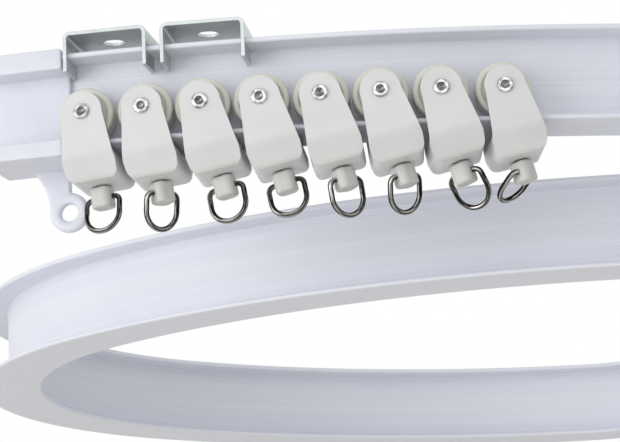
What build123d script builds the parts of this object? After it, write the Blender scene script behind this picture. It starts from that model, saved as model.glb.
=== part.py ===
from build123d import *
import os
from math import degrees, radians

# Flexible curtain track: a bendable I-section rail on ceiling brackets that turns round and comes
# back one rail height lower, with an end stop on each end and eight wheeled runners with rings.
# Millimetres. The origin is the middle of the first bracket's screw hole, on the face that meets
# the ceiling. +Z is up, +X runs along the rail at that bracket, and -Y is the side seen first.

# Rail section
rail_height = 25.0
rail_width = 18.0
web_thickness = 1.6
top_flange = 1.4
bottom_flange = 1.2

# Heights, measured from the ceiling
bracket_rise = 5.2
rail_top = -bracket_rise
rail_underside = rail_top - rail_height

# Plan of the rail: tangent arcs that all turn left, as radius, sweep in degrees and any fall
upper_radius = 407.2
lower_radius = 227.6
rail_start_angle = -94.45
upper_sweep = 49.85
falling_arcs = [(124.0, 30.0, 3.2), (124.0, 94.6, 20.0), (500.0, 15.4, 6.5)]
lower_arcs = [(lower_radius, 39.4), (113.0, 101.2), (lower_radius, 64.1)]
station_step = 17.0

# Ceiling brackets
bracket_length = 22.0
bracket_depth = 21.0
bracket_height = 10.6
bracket_sheet = 1.0
bracket_bend = 1.8
bracket_pitch = 25.0
screw_hole_radius = 2.75
slot_width = 18.7
slot_above_rail = 0.25
slot_for_web = 2.6

# End stops
stop_length = 22.0
stop_end_wall = 1.5
stop_fit = 0.15
stop_width = 19.7
stop_web = 4.4
stop_above_rail = 1.3
stop_top_band = 5.5
stop_below_rail = 2.2
stop_bottom_band = 4.4
stop_from_first_axle = 5.5
eye_from_edge = 3.7
eye_below_rail = 13.3
eye_radius = 5.3
eye_hole_radius = 2.3
lug_thickness = 2.8
lug_setback = 5.5
lug_reach = 10.6
lug_waist = 6.3
lug_waist_height = 5.7
lug_overlap = 1.0
lug_right = 0.5

# Runners, bunched at the left: each one's way along the rail from the origin, and its angles at rest
axle_places = [-6.0, 9.3, 24.0, 38.9, 53.9, 68.8, 83.8, 99.5]
axle_height = 8.5
carriage_leans = [-5.5, -6.5, -11.5, -13.0, -13.5, -14.5, -14.5, -13.5]
swivel_turns = [-11, 48, -12, -8, 35, 36, -38, 47]
ring_swings = [-14, 17, -8, -14, 12, 25, 18, 60]

# Wheels and rivets
wheel_radius = 7.2
wheel_inner = 3.0
wheel_outer = 7.6
wheel_edge = 0.5
shank_radius = 1.4
shank_fit = 0.05
rivet_head_radius = 2.08
rivet_head = 0.6
rivet_dimple_radius = 1.0
rivet_dimple_depth = 1.6
rivet_tail_radius = 2.1
rivet_tail = 0.5
rivet_tail_inner = 2.2
rivet_play = 0.05

# Carriages
head_radius = 5.3
cheek_inner = 10.2
cheek_outer = 11.2
cheek_half_length = 6.95
crease_depth = 11.6
flank_depth = 13.4
carriage_depth = 17.6
bottom_half_length = 6.5
bottom_half_width = 7.5
corner_radius = 2.4
bridge_depth = 11.6
boss_radius = 2.6
boss_inner = 7.9

# Swivels
stem_radius = 1.6
stem_fit = 0.1
stem_head_radius = 2.7
stem_head = 0.8
pocket_radius = 3.0
pocket_depth = 1.2
neck_width = 5.6
neck_thickness = 5.4
neck_corner = 1.9
neck_gap = 0.3
neck_depth = 23.4
ring_hole_depth = 20.6
ring_hole_radius = 0.78

# Rings
wire_radius = 0.7
ring_half_width = 4.75
ring_corner = 1.7
ring_side = 4.6

os.makedirs("parts", exist_ok=True)


def save(piece, name):
    piece.part.label = name
    export_step(piece.part, f"parts/{name}.step")


# Places along the rail
def upper_section(angle):
    """The rail's cross-section plane at an angle of the upper arc: X inward, Y up."""
    inward = Vector(-1, 0, 0).rotate(Axis.Z, angle)
    centre = Vector(0, upper_radius, rail_underside)
    return Plane(centre - inward * upper_radius, x_dir=inward, z_dir=inward.rotate(Axis.Z, -90))


def after_arc(section, radius, sweep, fall=0.0):
    """The cross-section plane at the end of an arc to the left that starts at a section."""
    inward = section.x_dir.rotate(Axis.Z, sweep)
    centre = section.origin + section.x_dir * radius - Vector(0, 0, fall)
    return Plane(centre - inward * radius, x_dir=inward, z_dir=section.z_dir.rotate(Axis.Z, sweep))


def arc_axis(section, radius):
    return Axis(section.origin + section.x_dir * radius, (0, 0, 1))


def on_rail(arc_length, height):
    """A place on the upper arc, by its way from the origin: X along the rail, Y inward, Z up."""
    section = upper_section(-90 + degrees(arc_length / upper_radius))
    origin = Vector(section.origin.X, section.origin.Y, height)
    return Location(Plane(origin, x_dir=section.z_dir, z_dir=(0, 0, 1)))


def carried(place, plane):
    """A plane of the standard frame, carried to a place."""
    return Plane(place * plane.location)


# Rail
def rail_outline(gap=0.0):
    """The I section, or the channel that clears it by a gap all round."""
    Rectangle(web_thickness + 2 * gap, rail_height, align=(Align.CENTER, Align.MIN))
    with Locations((0, bottom_flange / 2)):
        Rectangle(rail_width + 2 * gap, bottom_flange + 2 * gap)
    with Locations((0, rail_height - top_flange / 2)):
        Rectangle(rail_width + 2 * gap, top_flange + 2 * gap)


def make_rail():
    here = upper_section(rail_start_angle)
    with BuildPart() as rail:
        with BuildSketch(here):
            rail_outline()
        revolve(axis=arc_axis(here, upper_radius), revolution_arc=upper_sweep)
        here = after_arc(here, upper_radius, upper_sweep)
        with BuildSketch(here):
            rail_outline()
        for radius, sweep, fall in falling_arcs:
            steps = round(radius * radians(sweep) / station_step)
            for _ in range(steps):
                here = after_arc(here, radius, sweep / steps, fall / steps)
                with BuildSketch(here):
                    rail_outline()
        loft()
        for radius, sweep in lower_arcs:
            with BuildSketch(here):
                rail_outline()
            revolve(axis=arc_axis(here, radius), revolution_arc=sweep)
            here = after_arc(here, radius, sweep)
    save(rail, "rail")
    return here


# Ceiling brackets: a sheet bent into an inverted U, whose slotted legs hook under the top flange
def make_bracket(name, place):
    with BuildPart() as bracket:
        with BuildSketch(carried(place, Plane.XZ)):
            with Locations((0, -bracket_height / 2)):
                Rectangle(bracket_length, bracket_height)
            top_corners = vertices().group_by(Axis.Y)[-1]
            fillet(top_corners, bracket_bend)
            with BuildSketch(mode=Mode.SUBTRACT):
                inner_height = bracket_height - bracket_sheet
                with Locations((0, -bracket_sheet - inner_height / 2)):
                    Rectangle(bracket_length - 2 * bracket_sheet, inner_height)
                fillet(vertices().group_by(Axis.Y)[-1], bracket_bend - bracket_sheet)
        extrude(amount=bracket_depth / 2, both=True)
        slot_top = rail_top + slot_above_rail
        tooth_top = rail_top - top_flange
        with BuildSketch(carried(place, Plane.YZ)):
            with Locations((0, (slot_top + tooth_top) / 2)):
                Rectangle(slot_width, slot_top - tooth_top)
            with Locations((0, slot_top)):
                Rectangle(slot_for_web, bracket_height, align=(Align.CENTER, Align.MAX))
        extrude(amount=bracket_length, both=True, mode=Mode.SUBTRACT)
        with BuildSketch(carried(place, Plane.XY)):
            Circle(screw_hole_radius)
        extrude(amount=-2 * bracket_sheet, mode=Mode.SUBTRACT)
    save(bracket, name)


# End stops: a sleeve that slips over the rail's end, closed outside, with an eye on a lug below
def make_end_stop(name, start, radius, closed_first):
    towards_end = -1 if closed_first else 1
    sleeve_sweep = degrees(stop_length / radius)
    wall_sweep = degrees(stop_end_wall / radius)
    channel_start = after_arc(start, radius, wall_sweep) if closed_first else start
    eye_way = stop_length - eye_from_edge if closed_first else eye_from_edge
    at_eye = after_arc(start, radius, degrees(eye_way / radius))
    eye_centre = at_eye.origin + at_eye.x_dir * lug_setback - Vector(0, 0, eye_below_rail)
    with BuildPart() as stop:
        with BuildSketch(start):
            with Locations((0, rail_height + stop_above_rail)):
                Rectangle(stop_width, stop_top_band, align=(Align.CENTER, Align.MAX))
            with Locations((0, -stop_below_rail)):
                Rectangle(stop_width, stop_bottom_band, align=(Align.CENTER, Align.MIN))
            Rectangle(stop_web, rail_height, align=(Align.CENTER, Align.MIN))
        revolve(axis=arc_axis(start, radius), revolution_arc=sleeve_sweep)
        with BuildSketch(Plane(eye_centre, x_dir=at_eye.z_dir, z_dir=-at_eye.x_dir)):
            with BuildLine():
                lug_top = eye_below_rail - lug_overlap
                corner = (towards_end * lug_reach, lug_top)
                waist = (towards_end * lug_waist, lug_waist_height)
                side = (towards_end * eye_radius, 0)
                inner = -towards_end * lug_right
                ThreePointArc(corner, waist, side)
                Polyline(side, (inner, 0), (inner, lug_top), corner)
            make_face()
            Circle(eye_radius)
            Circle(eye_hole_radius, mode=Mode.SUBTRACT)
        extrude(amount=-lug_thickness)
        with BuildSketch(channel_start):
            rail_outline(stop_fit)
        revolve(
            axis=arc_axis(start, radius),
            revolution_arc=sleeve_sweep - wall_sweep,
            mode=Mode.SUBTRACT,
        )
    save(stop, name)


# Wheels and their rivets, on the axle line through a runner's origin, front at side 1, back at -1
def make_wheel(name, axle, side):
    with BuildPart() as wheel:
        with BuildSketch(carried(axle, Plane.XZ.offset(side * wheel_inner))):
            Circle(wheel_radius)
            Circle(shank_radius + shank_fit, mode=Mode.SUBTRACT)
        extrude(amount=side * (wheel_outer - wheel_inner))
        rims = wheel.edges().filter_by(GeomType.CIRCLE).group_by(SortBy.RADIUS)[-1]
        chamfer(rims, wheel_edge)
    save(wheel, name)


def make_rivets(name, axle):
    with BuildPart() as rivets:
        for side in (1, -1):
            head_at = cheek_outer + rivet_play
            with BuildSketch(carried(axle, Plane.XZ.offset(side * rivet_tail_inner))):
                Circle(rivet_tail_radius)
            extrude(amount=side * rivet_tail)
            with BuildSketch(carried(axle, Plane.XZ.offset(side * rivet_tail_inner))):
                Circle(shank_radius)
            extrude(amount=side * (head_at - rivet_tail_inner))
            with BuildSketch(carried(axle, Plane.XZ.offset(side * head_at))):
                Circle(rivet_head_radius)
            extrude(amount=side * rivet_head)
            with BuildSketch(carried(axle, Plane.XZ.offset(side * (head_at + rivet_head)))):
                Circle(rivet_dimple_radius)
            extrude(amount=-side * rivet_dimple_depth, mode=Mode.SUBTRACT)
    save(rivets, name)


# Carriages: two cheeks that straddle the rail's lower flange, joined by a bridge below it
def make_carriage(name, lean):
    with BuildPart() as carriage:
        with BuildSketch(carried(lean, Plane.XZ)):
            with BuildLine():
                CenterArc((0, 0), head_radius, 0, 360)
                Line((-cheek_half_length, -flank_depth), (cheek_half_length, -flank_depth))
                Line((-bottom_half_length, -carriage_depth), (bottom_half_length, -carriage_depth))
            make_hull()
            fillet(vertices().group_by(Axis.Y)[0], corner_radius)
        extrude(amount=cheek_outer, both=True)
        with BuildSketch(carried(lean, Plane.YZ.offset(-cheek_half_length))):
            with BuildLine():
                Polyline(
                    (-cheek_outer, head_radius),
                    (-cheek_outer, -crease_depth),
                    (-bottom_half_width, -carriage_depth),
                    (bottom_half_width, -carriage_depth),
                    (cheek_outer, -crease_depth),
                    (cheek_outer, head_radius),
                    close=True,
                )
            make_face()
        extrude(amount=2 * cheek_half_length, mode=Mode.INTERSECT)
        with BuildSketch(carried(lean, Plane.YZ)):
            with Locations((0, -bridge_depth)):
                Rectangle(2 * cheek_inner, 2 * carriage_depth, align=(Align.CENTER, Align.MIN))
        extrude(amount=cheek_half_length, both=True, mode=Mode.SUBTRACT)
        for side in (1, -1):
            with BuildSketch(carried(lean, Plane.XZ.offset(side * boss_inner))):
                Circle(boss_radius)
            extrude(amount=side * (cheek_inner - boss_inner))
        with BuildSketch(carried(lean, Plane.XZ)):
            Circle(shank_radius + shank_fit)
        extrude(amount=cheek_outer, both=True, mode=Mode.SUBTRACT)
        with BuildSketch(carried(lean, Plane.XY.offset(-bridge_depth))):
            Circle(pocket_radius)
        extrude(amount=-pocket_depth, mode=Mode.SUBTRACT)
        with BuildSketch(carried(lean, Plane.XY.offset(-bridge_depth))):
            Circle(stem_radius + stem_fit)
        extrude(amount=bridge_depth - carriage_depth, mode=Mode.SUBTRACT)
    save(carriage, name)


# Swivels: a neck below the bridge on a headed stem, with a cross hole for the ring
def make_swivel(name, turn):
    stem_top = -(bridge_depth + pocket_depth - stem_fit)
    neck_top = -(carriage_depth + neck_gap)
    with BuildPart() as swivel:
        with BuildSketch(carried(turn, Plane.XY.offset(neck_top))):
            RectangleRounded(neck_width, neck_thickness, neck_corner)
        extrude(amount=-(neck_depth + neck_top))
        with BuildSketch(carried(turn, Plane.XY.offset(neck_top))):
            Circle(stem_radius)
        extrude(amount=stem_top - neck_top)
        with BuildSketch(carried(turn, Plane.XY.offset(stem_top))):
            Circle(stem_head_radius)
        extrude(amount=stem_head)
        with BuildSketch(carried(turn, Plane.YZ)):
            with Locations((0, -ring_hole_depth)):
                Circle(ring_hole_radius)
        extrude(amount=neck_width, both=True, mode=Mode.SUBTRACT)
    save(swivel, name)


# Rings: a wire D whose straight bar lies in the swivel's cross hole
def make_ring(name, bar):
    bar_half = ring_half_width - ring_corner
    with BuildPart() as ring:
        with BuildLine(carried(bar, Plane.XZ)) as loop:
            Line((-bar_half, 0), (bar_half, 0))
            RadiusArc((bar_half, 0), (ring_half_width, -ring_corner), ring_corner)
            Line((ring_half_width, -ring_corner), (ring_half_width, -ring_side))
            ThreePointArc(
                (ring_half_width, -ring_side),
                (0, -ring_side - ring_half_width),
                (-ring_half_width, -ring_side),
            )
            Line((-ring_half_width, -ring_side), (-ring_half_width, -ring_corner))
            RadiusArc((-ring_half_width, -ring_corner), (-bar_half, 0), ring_corner)
        with BuildSketch(Plane(loop.line @ 0, z_dir=loop.line % 0)):
            Circle(wire_radius)
        sweep(path=loop.line)
    save(ring, name)


far_end = make_rail()
make_bracket("bracket_1", on_rail(0, 0))
make_bracket("bracket_2", on_rail(bracket_pitch, 0))

left_edge = axle_places[0] - stop_from_first_axle - stop_length
left_start = upper_section(-90 + degrees(left_edge / upper_radius))
make_end_stop("end_stop_left", left_start, upper_radius, True)
overlap = stop_length - stop_end_wall - 2 * stop_fit
right_start = after_arc(far_end, lower_radius, -degrees(overlap / lower_radius))
make_end_stop("end_stop_right", right_start, lower_radius, False)

runners = zip(axle_places, carriage_leans, swivel_turns, ring_swings)
for number, (place, leaning, turning, swinging) in enumerate(runners, start=1):
    axle = on_rail(place, rail_underside + axle_height)
    lean = axle * Location((0, 0, 0), (0, leaning, 0))
    turn = lean * Location((0, 0, 0), (0, 0, turning))
    bar = turn * Location((0, 0, -ring_hole_depth), (swinging, 0, 0))
    make_wheel(f"wheel_front_{number}", axle, 1)
    make_wheel(f"wheel_back_{number}", axle, -1)
    make_rivets(f"rivets_{number}", axle)
    make_carriage(f"carriage_{number}", lean)
    make_swivel(f"swivel_{number}", turn)
    make_ring(f"ring_{number}", bar)
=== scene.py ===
from math import atan2, ceil, cos, degrees, hypot, pi, radians, sin

import bmesh
import bpy
from mathutils import Matrix, Vector


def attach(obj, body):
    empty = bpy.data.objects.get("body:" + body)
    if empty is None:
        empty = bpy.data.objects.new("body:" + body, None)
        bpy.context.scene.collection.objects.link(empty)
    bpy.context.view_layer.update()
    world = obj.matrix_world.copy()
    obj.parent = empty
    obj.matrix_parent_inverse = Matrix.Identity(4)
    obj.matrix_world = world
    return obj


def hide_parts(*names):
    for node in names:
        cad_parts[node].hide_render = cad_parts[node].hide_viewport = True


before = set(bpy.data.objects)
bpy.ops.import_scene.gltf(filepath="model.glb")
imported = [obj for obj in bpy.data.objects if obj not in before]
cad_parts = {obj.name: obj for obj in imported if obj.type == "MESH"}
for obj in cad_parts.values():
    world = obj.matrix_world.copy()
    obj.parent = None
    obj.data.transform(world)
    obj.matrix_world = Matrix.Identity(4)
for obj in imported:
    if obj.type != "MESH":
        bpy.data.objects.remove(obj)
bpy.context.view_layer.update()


# Rail. One length of white PVC, extruded as an I section with fine lines along both sides of its
# web. It is bent by hand into a loop that comes back below itself, and everything hangs on it.
MM = 0.001
RAIL_HEIGHT = 25.0
RAIL_HALF_WIDTH = 9.0
WEB_HALF = 0.8
TOP_FLANGE = 1.4
BOTTOM_FLANGE = 1.2
FLANGE_EDGE = 0.55
WEB_FILLET = 0.6
LINE_PITCH = 1.6
LINE_COUNT = 13
LINE_WIDTH = 0.4
LINE_DEPTH = 0.1
LINE_SHAPE = [(-0.5, 0), (-0.2, 1), (0.2, 1), (0.5, 0)]
RAIL_TOP = -5.2
RAIL_UNDERSIDE = RAIL_TOP - RAIL_HEIGHT
UPPER_RADIUS = 407.2
LOWER_RADIUS = 227.6
RAIL_START_ANGLE = -94.45
RAIL_BENDS = [
    (UPPER_RADIUS, 49.85, 0.0), (124.0, 30.0, 3.2), (124.0, 94.6, 20.0), (500.0, 15.4, 6.5),
    (LOWER_RADIUS, 39.4, 0.0), (113.0, 101.2, 0.0), (LOWER_RADIUS, 64.1, 0.0),
]
PATH_STEP = 1.8
RAIL_STATION = 4.0
FINE_STREAKS = (0.0035, 1.7, 1)
BROAD_STREAKS = (0.006, 0.3, 1)
HANDLING = (26, 26, 26)


def turned(direction, angle):
    """A level direction turned to the left."""
    return Matrix.Rotation(angle, 3, "Z") @ direction


def standing(along, inward, place):
    """A place in mm with X along the rail, Y inward and Z up."""
    stood = Matrix((along, inward, Vector((0, 0, 1)))).transposed().to_4x4()
    stood.translation = place
    return stood


def upper_section(angle):
    """The place on the upper arc's underside at an angle, and the direction in to the bend."""
    inward = Vector((-cos(angle), -sin(angle), 0))
    return Vector((0, UPPER_RADIUS, RAIL_UNDERSIDE)) - inward * UPPER_RADIUS, inward


def rail_walk(place, inward, bends, step):
    """The places along a chain of bends to the left, and the last direction in."""
    places = [place.copy()]
    for radius, sweep, fall in bends:
        parts = max(1, ceil(radius * radians(sweep) / step))
        for _ in range(parts):
            centre = place + inward * radius
            inward = turned(inward, radians(sweep) / parts)
            place = centre - inward * radius - Vector((0, 0, fall / parts))
            places.append(place.copy())
    return places, inward


def corner(centre, radius, start, end, steps=4):
    """Points round a corner, in degrees."""
    turn = [radians(start + (end - start) * i / steps) for i in range(steps + 1)]
    return [(centre[0] + radius * cos(a), centre[1] + radius * sin(a)) for a in turn]


def rail_outline():
    """The right half of the I section from the underside up, then the same mirrored."""
    half = [(0, 0)]
    for low, high in ((0, BOTTOM_FLANGE), (RAIL_HEIGHT - TOP_FLANGE, RAIL_HEIGHT)):
        edge = RAIL_HALF_WIDTH - FLANGE_EDGE
        root = WEB_HALF + WEB_FILLET
        if low > 0:
            half += corner((root, low - WEB_FILLET), WEB_FILLET, 180, 90)
        half += corner((edge, low + FLANGE_EDGE), FLANGE_EDGE, -90, 0)
        half += corner((edge, high - FLANGE_EDGE), FLANGE_EDGE, 0, 90)
        if low == 0:
            half += corner((root, high + WEB_FILLET), WEB_FILLET, 270, 180)
            middle = (BOTTOM_FLANGE + RAIL_HEIGHT - TOP_FLANGE) / 2
            for line in range(LINE_COUNT):
                at = middle + (line - (LINE_COUNT - 1) / 2) * LINE_PITCH
                for up, deep in LINE_SHAPE:
                    half.append((WEB_HALF - deep * LINE_DEPTH, at + up * LINE_WIDTH))
    half.append((0, RAIL_HEIGHT))
    return half + [(-x, y) for x, y in reversed(half[1:-1])]


def in_scene(name, data):
    """A new object, linked to the scene."""
    made = bpy.data.objects.new(name, data)
    bpy.context.scene.collection.objects.link(made)
    return made


def line_object(name, points, closed):
    """A curve of straight runs through points, in mm."""
    curve = bpy.data.curves.new(name, "CURVE")
    curve.dimensions = "3D"
    spline = curve.splines.new("POLY")
    spline.points.add(len(points) - 1)
    for point, place in zip(spline.points, points):
        point.co = (*place, 1)
    spline.use_cyclic_u = closed
    return in_scene(name, curve)


def along_path_tree():
    """Draws a section along a path, and stores how far along and how far round each point is."""
    tree = bpy.data.node_groups.new("Section Along Path", "GeometryNodeTree")
    for label, kind in (
        ("Geometry", "Geometry"), ("Section", "Object"), ("Station Length", "Float"),
        ("Upright", "Bool"), ("Finish", "Material"),
    ):
        tree.interface.new_socket(label, in_out="INPUT", socket_type=f"NodeSocket{kind}")
    tree.interface.new_socket("Geometry", in_out="OUTPUT", socket_type="NodeSocketGeometry")
    new, link = tree.nodes.new, tree.links.new
    given, result = new("NodeGroupInput"), new("NodeGroupOutput")
    stations = new("GeometryNodeResampleCurve")
    stations.mode = "LENGTH"
    link(given.outputs["Geometry"], stations.inputs["Curve"])
    link(given.outputs["Station Length"], stations.inputs["Length"])
    upright = new("GeometryNodeSetCurveNormal")
    upright.mode = "Z_UP"
    link(stations.outputs["Curve"], upright.inputs["Curve"])
    link(given.outputs["Upright"], upright.inputs["Selection"])
    section = new("GeometryNodeObjectInfo")
    link(given.outputs["Section"], section.inputs["Object"])
    way = new("GeometryNodeSplineParameter")
    measured = []
    for source in (upright.outputs["Curve"], section.outputs["Geometry"]):
        keep = new("GeometryNodeCaptureAttribute")
        keep.capture_items.new("FLOAT", "Way")
        link(source, keep.inputs["Geometry"])
        link(way.outputs["Length"], keep.inputs["Way"])
        measured.append(keep)
    skin = new("GeometryNodeCurveToMesh")
    skin.inputs["Fill Caps"].default_value = True
    link(measured[0].outputs["Geometry"], skin.inputs["Curve"])
    link(measured[1].outputs["Geometry"], skin.inputs["Profile Curve"])
    pair = new("ShaderNodeCombineXYZ")
    link(measured[0].outputs["Way"], pair.inputs["X"])
    link(measured[1].outputs["Way"], pair.inputs["Y"])
    store = new("GeometryNodeStoreNamedAttribute")
    store.data_type = "FLOAT2"
    store.domain = "CORNER"
    store.inputs["Name"].default_value = "along_and_round"
    link(skin.outputs["Mesh"], store.inputs["Geometry"])
    link(pair.outputs["Vector"], store.inputs["Value"])
    smooth = new("GeometryNodeSetShadeSmooth")
    link(store.outputs["Geometry"], smooth.inputs["Geometry"])
    real = new("GeometryNodeRealizeInstances")
    link(smooth.outputs["Geometry"], real.inputs["Geometry"])
    finish = new("GeometryNodeSetMaterial")
    link(real.outputs["Geometry"], finish.inputs["Geometry"])
    link(given.outputs["Finish"], finish.inputs["Material"])
    link(finish.outputs["Geometry"], result.inputs["Geometry"])
    return tree


def drawn_along(path, section, station, upright, finish):
    """A section drawn along a path, as an object in mm with a plain mesh."""
    modifier = path.modifiers.new("drawn", "NODES")
    modifier.node_group = SECTION_TREE
    values = {"Section": section, "Station Length": station, "Upright": upright, "Finish": finish}
    for socket in SECTION_TREE.interface.items_tree:
        if socket.in_out == "INPUT" and socket.name in values:
            modifier[socket.identifier] = values[socket.name]
    evaluated = path.evaluated_get(bpy.context.evaluated_depsgraph_get())
    mesh = bpy.data.meshes.new_from_object(evaluated)
    bpy.data.objects.remove(path)
    bpy.data.objects.remove(section)
    shell = bmesh.new()
    shell.from_mesh(mesh)
    bmesh.ops.recalc_face_normals(shell, faces=shell.faces)
    shell.to_mesh(mesh)
    shell.free()
    return in_scene("drawn", mesh)


def freeze(work):
    """Makes the result of an object's modifiers its own mesh."""
    evaluated = work.evaluated_get(bpy.context.evaluated_depsgraph_get())
    mesh = bpy.data.meshes.new_from_object(evaluated)
    work.modifiers.clear()
    work.data = mesh


def flat_shading_kept(work):
    """Smooth shading that leaves the large faces flat."""
    work.data.shade_smooth()
    weighted = work.modifiers.new("weighted", "WEIGHTED_NORMAL")
    weighted.mode = "FACE_AREA"
    weighted.weight = 80
    freeze(work)


def placed(work, place):
    """A copy of an object's mesh at a place in mm, in metres."""
    mesh = work.data.copy()
    mesh.transform(Matrix.Scale(MM, 4) @ place)
    return mesh


def show(name, mesh, finish, body, node):
    """A finished piece that stands for a CAD node and moves with its body."""
    mesh.name = name
    mesh.materials.clear()
    mesh.materials.append(finish)
    made = in_scene(name, mesh)
    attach(made, body)
    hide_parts(node)


def shader_group(name, inputs, outputs):
    """An empty shader group with named sockets and its starting values."""
    group = bpy.data.node_groups.new(name, "ShaderNodeTree")
    for label, kind, value in inputs:
        socket = group.interface.new_socket(label, in_out="INPUT", socket_type=kind)
        socket.default_value = value
    for label, kind in outputs:
        group.interface.new_socket(label, in_out="OUTPUT", socket_type=kind)
    return group, group.nodes.new("NodeGroupInput"), group.nodes.new("NodeGroupOutput")


def stretched_noise(tree, coordinates, stretch, detail):
    """A noise over coordinates that are scaled first, each way by its own amount."""
    scale = tree.nodes.new("ShaderNodeMapping")
    scale.inputs["Scale"].default_value = stretch
    tree.links.new(coordinates, scale.inputs["Vector"])
    noise = tree.nodes.new("ShaderNodeTexNoise")
    noise.inputs["Scale"].default_value = 1.0
    noise.inputs["Detail"].default_value = detail
    tree.links.new(scale.outputs["Vector"], noise.inputs["Vector"])
    return noise.outputs["Fac"]


def spread(tree, value, low, high):
    """Takes a value from 0 to 1 to a range."""
    node = tree.nodes.new("ShaderNodeMapRange")
    node.inputs["To Min"].default_value = low
    node.inputs["To Max"].default_value = high
    tree.links.new(value, node.inputs["Value"])
    return node.outputs["Result"]


def sum_of(tree, first, second, first_share, second_share):
    """Two values, each times its share, added."""
    add = tree.nodes.new("ShaderNodeMath")
    for i, (value, share) in enumerate(((first, first_share), (second, second_share))):
        scaled = tree.nodes.new("ShaderNodeMath")
        scaled.operation = "MULTIPLY"
        scaled.inputs[1].default_value = share
        tree.links.new(value, scaled.inputs[0])
        tree.links.new(scaled.outputs[0], add.inputs[i])
    return add.outputs[0]


def drawn_lines_group():
    """Faint streaks that run along something drawn or extruded: a tone and a height."""
    group, given, result = shader_group(
        "Drawn Lines",
        [("Along and Round", "NodeSocketVector", (0, 0, 0))],
        [("Tone", "NodeSocketFloat"), ("Height", "NodeSocketFloat")],
    )
    way = given.outputs["Along and Round"]
    fine = stretched_noise(group, way, FINE_STREAKS, detail=3)
    broad = stretched_noise(group, way, BROAD_STREAKS, detail=2)
    group.links.new(sum_of(group, fine, broad, 0.7, 0.3), result.inputs["Tone"])
    group.links.new(fine, result.inputs["Height"])
    return group


def use_group(tree, group):
    """A node that stands for a shader group."""
    node = tree.nodes.new("ShaderNodeGroup")
    node.node_tree = group
    return node


def tinted(tree, tone, dark, light):
    """A colour between two, by a tone from 0 to 1."""
    mix = tree.nodes.new("ShaderNodeMix")
    mix.data_type = "RGBA"
    mix.inputs["A"].default_value = (*dark, 1)
    mix.inputs["B"].default_value = (*light, 1)
    tree.links.new(tone, mix.inputs["Factor"])
    return mix.outputs["Result"]


def new_finish(name):
    """A material with its tree, and its Principled shader."""
    material = bpy.data.materials.new(name)
    material.use_nodes = True
    return material, material.node_tree, material.node_tree.nodes["Principled BSDF"]


def raised(tree, shader, height, distance, strength):
    """A Bump node from a height to the shader's normal."""
    bump = tree.nodes.new("ShaderNodeBump")
    bump.inputs["Strength"].default_value = strength
    bump.inputs["Distance"].default_value = distance
    tree.links.new(height, bump.inputs["Height"])
    tree.links.new(bump.outputs["Normal"], shader.inputs["Normal"])


def piece_coordinates(tree):
    """Where a point is on its piece."""
    return tree.nodes.new("ShaderNodeTexCoord").outputs["Object"]


def path_coordinates(tree):
    """How far along its path a point is, and how far round its section."""
    uv = tree.nodes.new("ShaderNodeUVMap")
    uv.uv_map = "along_and_round"
    return uv.outputs["UV"]


def rail_finish():
    """Satin white PVC with a blue cast, and faint streaks from the die."""
    material, tree, shader = new_finish("rail_pvc")
    lines = use_group(tree, DRAWN_LINES)
    tree.links.new(path_coordinates(tree), lines.inputs["Along and Round"])
    handled = stretched_noise(tree, piece_coordinates(tree), HANDLING, detail=2)
    tone = sum_of(tree, lines.outputs["Tone"], handled, 0.8, 0.2)
    tone = spread(tree, tone, low=-0.9, high=1.9)
    colour = tinted(tree, tone, dark=(0.745, 0.77, 0.855), light=(0.835, 0.86, 0.935))
    tree.links.new(colour, shader.inputs["Base Color"])
    tree.links.new(spread(tree, handled, low=0.36, high=0.5), shader.inputs["Roughness"])
    raised(tree, shader, lines.outputs["Height"], distance=0.00002, strength=0.35)
    return material


SECTION_TREE = along_path_tree()
DRAWN_LINES = drawn_lines_group()
RAIL_PVC = rail_finish()

start_place, start_inward = upper_section(radians(RAIL_START_ANGLE))
rail_places, far_inward = rail_walk(start_place, start_inward, RAIL_BENDS, PATH_STEP)
rail = drawn_along(
    line_object("rail_path", rail_places, closed=False),
    line_object("rail_section", [(x, -y, 0) for x, y in rail_outline()], closed=True),
    RAIL_STATION, upright=True, finish=RAIL_PVC,
)
flat_shading_kept(rail)
show("rail_extrusion", placed(rail, Matrix()), RAIL_PVC, "root", "rail")
bpy.data.objects.remove(rail)


# Ceiling brackets. Strips of zinc-plated steel sheet, slotted and pierced flat, then folded to an
# inverted U. The teeth in the legs hook under the rail's top flange, and a screw holds the plate.
BRACKET_LENGTH = 22.0
BRACKET_DEPTH = 21.0
BRACKET_HEIGHT = 10.6
BRACKET_SHEET = 1.0
BRACKET_BEND = 1.8
BRACKET_PITCH = 25.0
SCREW_HOLE_RADIUS = 2.75
SLOT_WIDTH = 18.7
SLOT_PLAY = 0.25
SLOT_TOP = RAIL_TOP + SLOT_PLAY
TOOTH_TOP = RAIL_TOP - TOP_FLANGE
SLOT_FOR_WEB = 2.6
SHEARED_EDGE = 0.16
SCREW_HOLE_SIDES = 48
ROLLED_STREAKS = (90, 5000, 5000)
CLOUDS = (180, 180, 180)
CRYSTALS = 900


def on_rail(way, height):
    """A place on the upper arc by its way from the origin: X along the rail, Y inward, Z up."""
    place, inward = upper_section(-pi / 2 + way / UPPER_RADIUS)
    return standing(turned(inward, -pi / 2), inward, (place.x, place.y, height))


def skin_between(shell, near, far):
    """Faces between two rings with the same number of points."""
    count = len(near)
    for i in range(count):
        j = (i + 1) % count
        shell.faces.new((near[i], near[j], far[j], far[i]))


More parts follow.
